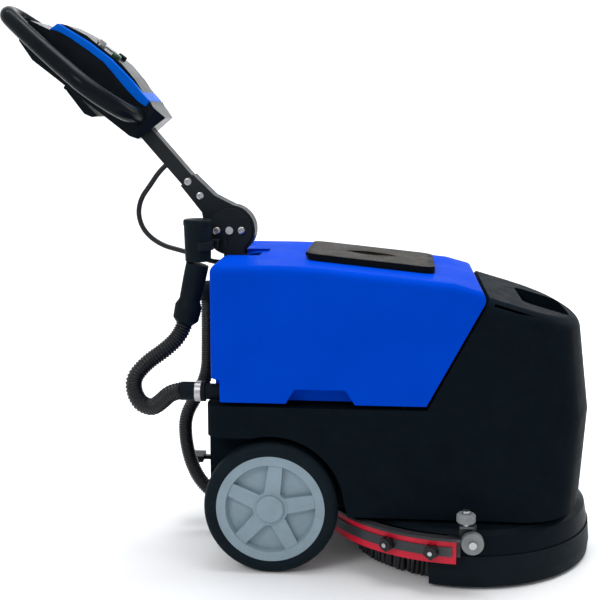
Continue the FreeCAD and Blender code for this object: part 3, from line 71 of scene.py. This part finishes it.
# ---- routes of the hoses and the cable ----
cuff_foot = (-152 - 124 * math.sin(math.radians(13)), -75, 568 - 124 * math.cos(math.radians(13)))
drain_route = [
    place(*cuff_foot),
    place(-188, -80, 424),
    place(-214, -92, 398),
    place(-251, -104, 373),
    place(-277, -117, 341),
    place(-264, -131, 303),
    place(-234, -143, 293),
    place(-211, -154, 311),
    place(-192, -163, 331),
    place(-172, -165, 335),
]
suction_route = [
    place(-156, 50, 471.7),
    place(-156, 50, 430),
    place(-157, 50, 372),
    place(-158, 49, 322),
    place(-177, 45, 277),
    place(-203, 37, 234),
    place(-204, 30, 189),
    place(-193, 21, 141),
    place(-172, 11, 101),
    place(-137, 3, 72),
    place(-91, 0, 62),
    place(-42, 0, 66),
    place(6, 0, 84),
    place(47.7, 0, 84),
]
rise = math.radians(49)
HINGE_X = -98
HINGE_Z = 622
EXIT_ALONG = 178
TUBE_HALF_DEPTH = 13.5
EXIT_LEAD = 20
exit_x = HINGE_X - EXIT_ALONG * math.cos(rise) - TUBE_HALF_DEPTH * math.sin(rise)
exit_z = HINGE_Z + EXIT_ALONG * math.sin(rise) - TUBE_HALF_DEPTH * math.cos(rise)
cable_route = [
    place(exit_x, 0, exit_z),
    place(exit_x - EXIT_LEAD * math.sin(rise), 0, exit_z - EXIT_LEAD * math.cos(rise)),
    place(-258, 0, 708),
    place(-279, 0, 680),
    place(-285, 0, 646),
    place(-271, 0, 612),
    place(-238, 0, 588),
    place(-198, 0, 578),
    place(-161, 0, 567),
    place(-137, 0, 556),
    place(-118.3, 0, 556),
]


def link(obj):
    bpy.context.collection.objects.link(obj)
    return obj


def route_curve(name, points):
    """One open spline through free space, with the route's points as its control points."""
    data = bpy.data.curves.new(name, "CURVE")
    data.dimensions = "3D"
    data.resolution_u = 16
    spline = data.splines.new("NURBS")
    spline.points.add(len(points) - 1)
    for control, point in zip(spline.points, points):
        control.co = (*point, 1)
    spline.order_u = 3
    spline.use_endpoint_u = True
    return link(bpy.data.objects.new(name, data))


def spline_points(name, points):
    """The points of the smooth line that the route's spline follows."""
    guide = route_curve(f"{name}_guide", points)
    line = bpy.data.meshes.new_from_object(guide)
    found = [vertex.co.copy() for vertex in line.vertices]
    bpy.data.objects.remove(guide)
    return found


def mesh_object(name, vertices, faces):
    mesh = bpy.data.meshes.new(name)
    mesh.from_pydata([tuple(vertex) for vertex in vertices], [], faces)
    mesh.validate()
    mesh.shade_smooth()
    return link(bpy.data.objects.new(name, mesh))


def corrugated(name, line, diameter, pitch, depth):
    """A ribbed hose along a line: rings of varying radius carried without twist."""
    around = 30
    per_rib = 8
    gaps = [(b - a).length for a, b in zip(line, line[1:])]
    total = sum(gaps)
    ribs = round(total / pitch)
    count = ribs * per_rib
    vertices = []
    faces = []
    side = None
    index = 0
    walked = 0.0
    for number in range(count + 1):
        distance = total * number / count
        while index < len(gaps) - 1 and walked + gaps[index] < distance:
            walked += gaps[index]
            index += 1
        share = min(1.0, (distance - walked) / gaps[index])
        point = line[index].lerp(line[index + 1], share)
        before = line[max(index - 1, 0)]
        after = line[min(index + 2, len(line) - 1)]
        forward = (after - before).normalized()
        if side is None:
            side = forward.orthogonal().normalized()
        side = (side - forward * side.dot(forward)).normalized()
        up = forward.cross(side)
        phase = number / per_rib
        swell = 0.5 + 0.5 * math.cos(2 * math.pi * phase)
        radius = diameter / 2 - depth * (1 - swell**0.7)
        for step in range(around):
            turn = 2 * math.pi * step / around
            vertices.append(point + (side * math.cos(turn) + up * math.sin(turn)) * radius)
        if number:
            base = (number - 1) * around
            above = base + around
            for step in range(around):
                following = (step + 1) % around
                faces.append((base + step, base + following, above + following, above + step))
    faces.append(tuple(range(around))[::-1])
    faces.append(tuple(range(count * around, (count + 1) * around)))
    return mesh_object(name, vertices, faces)


drain_line = spline_points("drain_hose", drain_route)
drain_hose = corrugated("drain_hose_ribbed", drain_line, 0.033, 0.0058, 0.0023)
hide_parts("drain_hose")
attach(drain_hose, body_of["drain_hose"])
suction_line = spline_points("suction_hose", suction_route)
suction_hose = corrugated("suction_hose_ribbed", suction_line, 0.029, 0.0050, 0.0018)
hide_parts("suction_hose")
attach(suction_hose, body_of["suction_hose"])
cable_line = spline_points("handle_cable", cable_route)
handle_cable = corrugated("handle_cable_sheath", cable_line, 0.010, 0.008, 0.0)
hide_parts("handle_cable")
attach(handle_cable, body_of["handle_cable"])


# ---- materials ----
ROUGHNESS_SPREAD = 0.08


def mix_colours(tree, factor, low, high):
    """Blend two colours, each a socket or three numbers, by the factor's socket."""
    node = tree.nodes.new("ShaderNodeMix")
    node.data_type = "RGBA"
    for socket, value in ((node.inputs[0], factor), (node.inputs[6], low), (node.inputs[7], high)):
        if isinstance(value, bpy.types.NodeSocket):
            tree.links.new(value, socket)
        else:
            socket.default_value = (*value, 1)
    return node.outputs[2]


def surface(
    name,
    colour,
    roughness,
    metallic=0.0,
    grain=0.0012,
    bump=0.06,
    bump_depth=0.0002,
    blotch=0.05,
    variation=0.12,
    wear=None,
    stretch=(1, 1, 1),
    specular=0.5,
    dust=None,
):
    """A procedural finish: blotches of colour, a fine grain in the bump, uneven gloss and rubbed edges."""
    material = bpy.data.materials.new(name)
    material.use_nodes = True
    tree = material.node_tree
    nodes, links = tree.nodes, tree.links
    shader = nodes["Principled BSDF"]
    shader.inputs["Metallic"].default_value = metallic
    shader.inputs["Specular IOR Level"].default_value = specular
    position = nodes.new("ShaderNodeTexCoord").outputs["Object"]
    mapping = nodes.new("ShaderNodeMapping")
    mapping.inputs["Scale"].default_value = stretch
    links.new(position, mapping.inputs["Vector"])

    def noise(size, detail, source=position, rough=0.55):
        node = nodes.new("ShaderNodeTexNoise")
        node.inputs["Scale"].default_value = 1 / size
        node.inputs["Detail"].default_value = detail
        node.inputs["Roughness"].default_value = rough
        links.new(source, node.inputs["Vector"])
        return node.outputs["Fac"]

    def ramp(source, low, high, start=0.0, end=1.0):
        node = nodes.new("ShaderNodeMapRange")
        node.inputs["From Min"].default_value = low
        node.inputs["From Max"].default_value = high
        node.inputs["To Min"].default_value = start
        node.inputs["To Max"].default_value = end
        links.new(source, node.inputs["Value"])
        return node.outputs["Result"]

    dark = [channel * (1 - variation) for channel in colour]
    light = [min(1.0, channel * (1 + variation)) for channel in colour]
    blotches = ramp(noise(blotch, 4), 0.3, 0.7)
    shade = mix_colours(tree, blotches, dark, light)
    if dust:
        specks = ramp(noise(blotch * 0.3, 8, rough=0.7), 0.52, 0.82, 0.0, 0.35)
        shade = mix_colours(tree, specks, shade, dust)
    if wear:
        pointed = nodes.new("ShaderNodeNewGeometry").outputs["Pointiness"]
        rubbed = ramp(pointed, 0.53, 0.62, 0.0, 0.6)
        shade = mix_colours(tree, rubbed, shade, wear)
    links.new(shade, shader.inputs["Base Color"])
    smoothest = roughness - ROUGHNESS_SPREAD
    roughest = roughness + ROUGHNESS_SPREAD
    gloss = ramp(noise(blotch * 0.5, 6), 0.25, 0.75, smoothest, roughest)
    links.new(gloss, shader.inputs["Roughness"])
    relief = nodes.new("ShaderNodeBump")
    relief.inputs["Strength"].default_value = bump
    relief.inputs["Distance"].default_value = bump_depth
    links.new(noise(grain, 3, mapping.outputs["Vector"]), relief.inputs["Height"])
    links.new(relief.outputs["Normal"], shader.inputs["Normal"])
    return material


finishes = {
    "black_moulding": surface(
        "black_moulding",
        (0.004, 0.007, 0.010),
        0.4,
        grain=0.0016,
        bump=0.3,
        specular=0.003,
        dust=(0.01, 0.013, 0.016),
    ),
    "blue_moulding": surface(
        "blue_moulding",
        (0.0, 0.046, 0.47),
        0.4,
        grain=0.0022,
        bump=0.18,
        variation=0.06,
        blotch=0.12,
        specular=0.002,
    ),
    "smoked_lid": surface(
        "smoked_lid",
        (0.024, 0.021, 0.017),
        0.3,
        grain=0.003,
        bump=0.06,
        variation=0.25,
        blotch=0.06,
        specular=0.003,
    ),
    "tyre_rubber": surface(
        "tyre_rubber",
        (0.006, 0.011, 0.015),
        0.5,
        grain=0.0008,
        bump=0.3,
        specular=0.03,
        dust=(0.018, 0.022, 0.022),
    ),
    "grey_rim": surface(
        "grey_rim",
        (0.22, 0.29, 0.335),
        0.4,
        grain=0.0014,
        bump=0.12,
        variation=0.05,
        specular=0.15,
        dust=(0.14, 0.16, 0.16),
    ),
    "black_metal": surface(
        "black_metal",
        (0.006, 0.009, 0.011),
        0.34,
        grain=0.0009,
        bump=0.3,
        specular=0.06,
        wear=(0.06, 0.06, 0.06),
    ),
    "steel": surface("steel", (0.42, 0.42, 0.43), 0.34, 1.0, grain=0.0007, bump=0.12, stretch=(1, 8, 1)),
    "bearing_steel": surface("bearing_steel", (0.6, 0.6, 0.62), 0.18, 1.0, grain=0.0006, bump=0.08),
    "battery_case": surface("battery_case", (0.05, 0.05, 0.055), 0.5, bump=0.3),
    "motor_housing": surface("motor_housing", (0.09, 0.09, 0.1), 0.45, bump=0.3, wear=(0.3, 0.3, 0.3)),
    "valve_body": surface("valve_body", (0.55, 0.4, 0.15), 0.3, 1.0, bump=0.15),
    "controller_case": surface("controller_case", (0.5, 0.5, 0.52), 0.35, 1.0, bump=0.2),
    "deck_plastic": surface(
        "deck_plastic",
        (0.004, 0.007, 0.01),
        0.36,
        grain=0.0014,
        bump=0.25,
        specular=0.02,
        dust=(0.012, 0.015, 0.017),
    ),
    "black_rubber": surface(
        "black_rubber",
        (0.005, 0.009, 0.012),
        0.5,
        grain=0.0009,
        bump=0.3,
        specular=0.04,
        dust=(0.014, 0.016, 0.018),
    ),
    "red_rubber": surface(
        "red_rubber", (0.5, 0.008, 0.028), 0.4, grain=0.001, bump=0.2, variation=0.15, specular=0.25
    ),
    "squeegee_metal": surface(
        "squeegee_metal",
        (0.012, 0.014, 0.018),
        0.36,
        grain=0.0009,
        bump=0.3,
        specular=0.3,
        wear=(0.2, 0.2, 0.2),
    ),
    "strip_grey": surface(
        "strip_grey",
        (0.02, 0.022, 0.026),
        0.38,
        grain=0.0009,
        bump=0.25,
        specular=0.3,
        wear=(0.12, 0.12, 0.12),
    ),
    "knob_plastic": surface(
        "knob_plastic",
        (0.006, 0.006, 0.007),
        0.33,
        grain=0.001,
        bump=0.2,
        specular=0.3,
    ),
    "roller_grey": surface(
        "roller_grey",
        (0.19, 0.2, 0.205),
        0.5,
        grain=0.0009,
        bump=0.2,
        specular=0.1,
        dust=(0.12, 0.12, 0.11),
    ),
    "bristle_fibre": surface(
        "bristle_fibre",
        (0.014, 0.016, 0.02),
        0.5,
        grain=0.002,
        bump=0.8,
        bump_depth=0.001,
        variation=0.4,
        stretch=(1, 1, 0.06),
    ),
    "hose_black": surface(
        "hose_black",
        (0.006, 0.007, 0.009),
        0.33,
        grain=0.001,
        bump=0.2,
        specular=0.3,
        dust=(0.016, 0.016, 0.017),
    ),
    "gloss_black": surface(
        "gloss_black", (0.005, 0.007, 0.009), 0.2, grain=0.0018, bump=0.1, specular=0.05
    ),
    "gloss_blue": surface(
        "gloss_blue", (0.0, 0.09, 0.5), 0.28, grain=0.002, bump=0.1, variation=0.06, specular=0.02
    ),
    "display_glass": surface(
        "display_glass",
        (0.01, 0.014, 0.014),
        0.08,
        grain=0.004,
        bump=0.02,
        specular=0.4,
    ),
    "key_metal": surface("key_metal", (0.3, 0.3, 0.3), 0.3, 1.0, grain=0.0006, bump=0.08),
    "button_green": surface("button_green", (0.008, 0.07, 0.025), 0.3, grain=0.001, bump=0.08),
    "float_white": surface("float_white", (0.7, 0.7, 0.68), 0.4, bump=0.15),
}


def darken_rim(material, middle, half_x, half_y, band, colour):
    """Blend a darker colour into the border of a rectangular top."""
    tree = material.node_tree
    nodes, links = tree.nodes, tree.links
    shader = nodes["Principled BSDF"]
    inner = shader.inputs["Base Color"].links[0].from_socket
    split = nodes.new("ShaderNodeSeparateXYZ")
    links.new(nodes.new("ShaderNodeTexCoord").outputs["Object"], split.inputs[0])
    masks = []
    for axis, centre, half in ((0, middle, half_x), (1, 0.0, half_y)):
        away = nodes.new("ShaderNodeMath")
        away.operation = "SUBTRACT"
        away.inputs[1].default_value = centre
        links.new(split.outputs[axis], away.inputs[0])
        size = nodes.new("ShaderNodeMath")
        size.operation = "ABSOLUTE"
        links.new(away.outputs[0], size.inputs[0])
        edge = nodes.new("ShaderNodeMapRange")
        edge.inputs["From Min"].default_value = half - band
        edge.inputs["From Max"].default_value = half - band * 0.6
        links.new(size.outputs[0], edge.inputs["Value"])
        masks.append(edge.outputs["Result"])
    largest = nodes.new("ShaderNodeMath")
    largest.operation = "MAXIMUM"
    links.new(masks[0], largest.inputs[0])
    links.new(masks[1], largest.inputs[1])
    links.new(mix_colours(tree, largest.outputs[0], inner, colour), shader.inputs["Base Color"])


lid_low, lid_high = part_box("recovery_lid")
darken_rim(
    finishes["smoked_lid"],
    (lid_low.x + lid_high.x) / 2,
    (lid_high.x - lid_low.x) / 2,
    (lid_high.y - lid_low.y) / 2,
    0.014,
    (0.006, 0.007, 0.008),
)
for piece, slot in ((drain_hose, "hose_black"), (suction_hose, "hose_black"), (handle_cable, "hose_black")):
    piece.data.materials.append(finishes[slot])


# ---- CAD pieces with moulded, rolled or filed edges ----
BEVEL_SEGMENTS = 2
BEVEL_ANGLE = math.radians(30)
SHARP_ANGLE = math.radians(40)
FLAT_ANGLE = math.radians(0.15)
WELD_DISTANCE = 1e-6


def softened(node, width):
    """A copy of a CAD piece whose sharp edges are rounded, in the CAD piece's place."""
    mesh = frame["nodes"][node].data.copy()
    edit = bmesh.new()
    edit.from_mesh(mesh)
    bmesh.ops.remove_doubles(edit, verts=edit.verts, dist=WELD_DISTANCE)
    bmesh.ops.dissolve_limit(
        edit, angle_limit=FLAT_ANGLE, verts=edit.verts, edges=edit.edges, delimit=set()
    )
    for edge in edit.edges:
        edge.smooth = True
    edit.to_mesh(mesh)
    edit.free()
    mesh.shade_smooth()
    obj = link(bpy.data.objects.new(f"{node}_finished", mesh))
    bevel = obj.modifiers.new("round", "BEVEL")
    bevel.width = width
    bevel.segments = BEVEL_SEGMENTS
    bevel.limit_method = "ANGLE"
    bevel.angle_limit = BEVEL_ANGLE
    bevel.miter_outer = "MITER_ARC"
    settled = bpy.data.meshes.new_from_object(obj.evaluated_get(bpy.context.evaluated_depsgraph_get()))
    obj.modifiers.clear()
    edit = bmesh.new()
    edit.from_mesh(settled)
    for edge in edit.edges:
        if len(edge.link_faces) == 2 and edge.calc_face_angle(0) > SHARP_ANGLE:
            edge.smooth = False
    edit.to_mesh(settled)
    edit.free()
    obj.data = settled
    weighted = obj.modifiers.new("weighted", "WEIGHTED_NORMAL")
    weighted.keep_sharp = True
    final = bpy.data.meshes.new_from_object(obj.evaluated_get(bpy.context.evaluated_depsgraph_get()))
    obj.modifiers.clear()
    obj.data = final
    obj.data.materials.clear()
    obj.data.materials.append(finishes[slot_of[node]])
    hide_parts(node)
    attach(obj, body_of[node])


edge_widths = {
    "body_shell": 0.0035,
    "recovery_tank": 0.003,
    "recovery_lid": 0.0025,
    "console_shell": 0.005,
    "blue_trim": 0.003,
    "console_panel": 0.0025,
    "rim_left": 0.0016,
    "rim_right": 0.0016,
    "star_knobs": 0.0015,
    "hinge_casting": 0.002,
    "handle_tube": 0.002,
    "cheek_plates": 0.0008,
    "squeegee_carrier": 0.0008,
    "clamp_strip": 0.0006,
    "run_lever": 0.003,
    "hose_clip": 0.0006,
    "lift_pedal": 0.0015,
    "deck_housing": 0.0015,
    "fill_cap": 0.0012,
    "drain_cap": 0.001,
    "drain_cuff": 0.001,
    "mast": 0.0012,
    "chassis_frame": 0.001,
    "hose_nozzle": 0.001,
    "drain_hose_end": 0.001,
    "front_blade": 0.0004,
    "rear_blade": 0.0004,
    "support_wheel_left": 0.0006,
    "support_wheel_right": 0.0006,
    "bumper_roller_left": 0.0006,
    "bumper_roller_right": 0.0006,
    "battery_display": 0.0006,
    "push_button_left": 0.001,
    "push_button_right": 0.001,
    "key_switch": 0.0005,
}
for node_name, edge_width in edge_widths.items():
    softened(node_name, edge_width)


# ---- bolts with domed heads and hexagon sockets ----
def socket_heads(node, heads):
    """One mesh of bolt heads, each (centre of its seat, outward direction, radius, height)."""
    vertices = []
    faces = []
    around = 36
    for centre, outward, radius, height in heads:
        outward = Vector(outward)
        side = outward.orthogonal().normalized()
        up = outward.cross(side)
        start = len(vertices)
        rings = [
            (1.0, 0.0, False),
            (1.0, 0.5, False),
            (0.93, 0.78, False),
            (0.78, 0.94, False),
            (0.6, 1.0, False),
            (0.5, 1.0, True),
            (0.46, 0.95, True),
            (0.44, 0.45, True),
        ]
        for share, level, hexagon in rings:
            for step in range(around):
                turn = 2 * math.pi * step / around
                reach = radius * share
                if hexagon:
                    reach /= math.cos((turn + math.pi / 6) % (math.pi / 3) - math.pi / 6) * 1.1
                offset = side * math.cos(turn) + up * math.sin(turn)
                vertices.append(centre + offset * reach + outward * height * level)
        for ring in range(len(rings) - 1):
            for step in range(around):
                following = (step + 1) % around
                low = start + ring * around
                faces.append((low + step, low + following, low + around + following, low + around + step))
        faces.append(tuple(range(start, start + around))[::-1])
        last = start + (len(rings) - 1) * around
        faces.append(tuple(range(last, last + around)))
    obj = mesh_object(f"{node}_heads", vertices, faces)
    obj.data.set_sharp_from_angle(angle=math.radians(35))
    obj.data.materials.append(finishes[slot_of[node]])
    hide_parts(node)
    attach(obj, body_of[node])


HEAD_RADIUS = 0.0075
TUBE_HEAD_HEIGHT = 0.004
CHEEK_HEAD_HEIGHT = 0.005
CASTING_HALF_WIDTH = 21.6
CHEEK_HALF_WIDTH = 27
tube_heads = []
for along in (88, 124):
    bolt_x = HINGE_X - along * math.cos(rise)
    bolt_z = HINGE_Z + along * math.sin(rise)
    for sign in (-1, 1):
        seat = place(bolt_x, sign * CASTING_HALF_WIDTH, bolt_z)
        tube_heads.append((seat, (0, sign, 0), HEAD_RADIUS, TUBE_HEAD_HEIGHT))
socket_heads("tube_bolts", tube_heads)
cheek_heads = []
for screw_x, screw_z in ((-75, 622), (-123, 621)):
    for sign in (-1, 1):
        seat = place(screw_x, sign * CHEEK_HALF_WIDTH, screw_z)
        cheek_heads.append((seat, (0, sign, 0), HEAD_RADIUS, CHEEK_HEAD_HEIGHT))
socket_heads("cheek_screws", cheek_heads)


# ---- brush bristles: flared tufts set in rings ----
RINGS = 11
RING_GAP = 0.0102
TUFT_PITCH = 0.0098


def tufts():
    chance = random.Random(7)
    low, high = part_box("bristles")
    centre = Vector(((low.x + high.x) / 2, 0, 0))
    height = high.z - 0.0002
    vertices = []
    faces = []
    around = 7
    outermost = (high.x - low.x) / 2 - 0.0085
    for ring_radius in [outermost - RING_GAP * number for number in range(RINGS)]:
        count = int(2 * math.pi * ring_radius / TUFT_PITCH)
        for number in range(count):
            turn = 2 * math.pi * (number + chance.random() * 0.3) / count
            outward = Vector((math.cos(turn), math.sin(turn), 0))
            foot = centre + outward * ring_radius
            lean = outward * chance.uniform(0.0, 0.003)
            lean += Vector((chance.uniform(-1, 1), chance.uniform(-1, 1), 0)) * 0.001
            start = len(vertices)
            for level, radius in ((1.0, 0.0030), (0.6, 0.0034), (0.25, 0.0042), (0.0, 0.0048)):
                middle = foot + lean * (1 - level)
                for step in range(around):
                    angle = 2 * math.pi * step / around
                    spread = radius * (1 + 0.16 * chance.uniform(-1, 1))
                    drop = 0.0 if level else chance.uniform(0.0, 0.002)
                    x = math.cos(angle) * spread
                    y = math.sin(angle) * spread
                    vertices.append(middle + Vector((x, y, height * level + drop)))
            for ring in range(3):
                for step in range(around):
                    following = (step + 1) % around
                    base = start + ring * around
                    above = base + around
                    faces.append((base + step, above + step, above + following, base + following))
            faces.append(tuple(range(start, start + around)))
            faces.append(tuple(range(start + 3 * around, start + 4 * around))[::-1])
    obj = mesh_object("bristle_tufts", vertices, faces)
    obj.data.set_sharp_from_angle(angle=math.radians(50))
    obj.data.materials.append(finishes["bristle_fibre"])
    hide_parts("bristles")
    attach(obj, body_of["bristles"])


tufts()

# ---- finishes for every CAD piece that still shows ----
for node_name, node in frame["nodes"].items():
    if node.hide_render:
        continue
    node.data.materials.clear()
    node.data.materials.append(finishes[slot_of[node_name]])


# ---- floor and light ----
def backdrop():
    """A pale floor that curves up into a wall behind the object."""
    rows = [(-8.0, 0.0), (4.0, 0.0)]
    rows += [
        (4.0 + 2.5 * math.sin(turn), 2.5 - 2.5 * math.cos(turn))
        for turn in [math.pi / 2 * step / 16 for step in range(1, 17)]
    ]
    rows.append((6.5, 9.0))
    vertices = []
    for depth, height in rows:
        vertices += [(-12, depth, height - 0.0005), (12, depth, height - 0.0005)]
    faces = [(2 * row, 2 * row + 1, 2 * row + 3, 2 * row + 2) for row in range(len(rows) - 1)]
    floor = mesh_object("floor", vertices, faces)
    pale = surface(
        "pale_floor",
        (0.9, 0.91, 0.92),
        0.8,
        grain=0.01,
        bump=0.02,
        variation=0.008,
        blotch=0.5,
        specular=0.1,
    )
    floor.data.materials.append(pale)


backdrop()
world = bpy.data.worlds.new("studio")
bpy.context.scene.world = world
world.use_nodes = True
world.node_tree.nodes["Background"].inputs["Color"].default_value = (0.97, 0.98, 1.0, 1)
world.node_tree.nodes["Background"].inputs["Strength"].default_value = 0.62
bpy.context.scene.view_settings.view_transform = "Standard"


def softbox(name, location, target, width, height, power):
    light = bpy.data.lights.new(name, "AREA")
    light.shape = "RECTANGLE"
    light.size = width
    light.size_y = height
    light.energy = power
    lamp = link(bpy.data.objects.new(name, light))
    lamp.location = location
    lamp.rotation_euler = (Vector(target) - Vector(location)).to_track_quat("-Z", "Y").to_euler()
    return lamp


softbox("key_light", (-1.5, -2.6, 2.4), (0, 0, 0.4), 1.2, 1.2, 34)
softbox("top_light", (0.3, 0.2, 3.2), (0.1, 0, 0.4), 2.6, 1.8, 66)
softbox("rim_light", (2.4, 1.4, 1.8), (0.2, 0, 0.4), 1.0, 1.8, 24)
softbox("wall_light", (0, 1.4, 4.5), (0, 5.5, 1.5), 6, 1.5, 260)

# ---- update the view layer ----
bpy.context.view_layer.update()
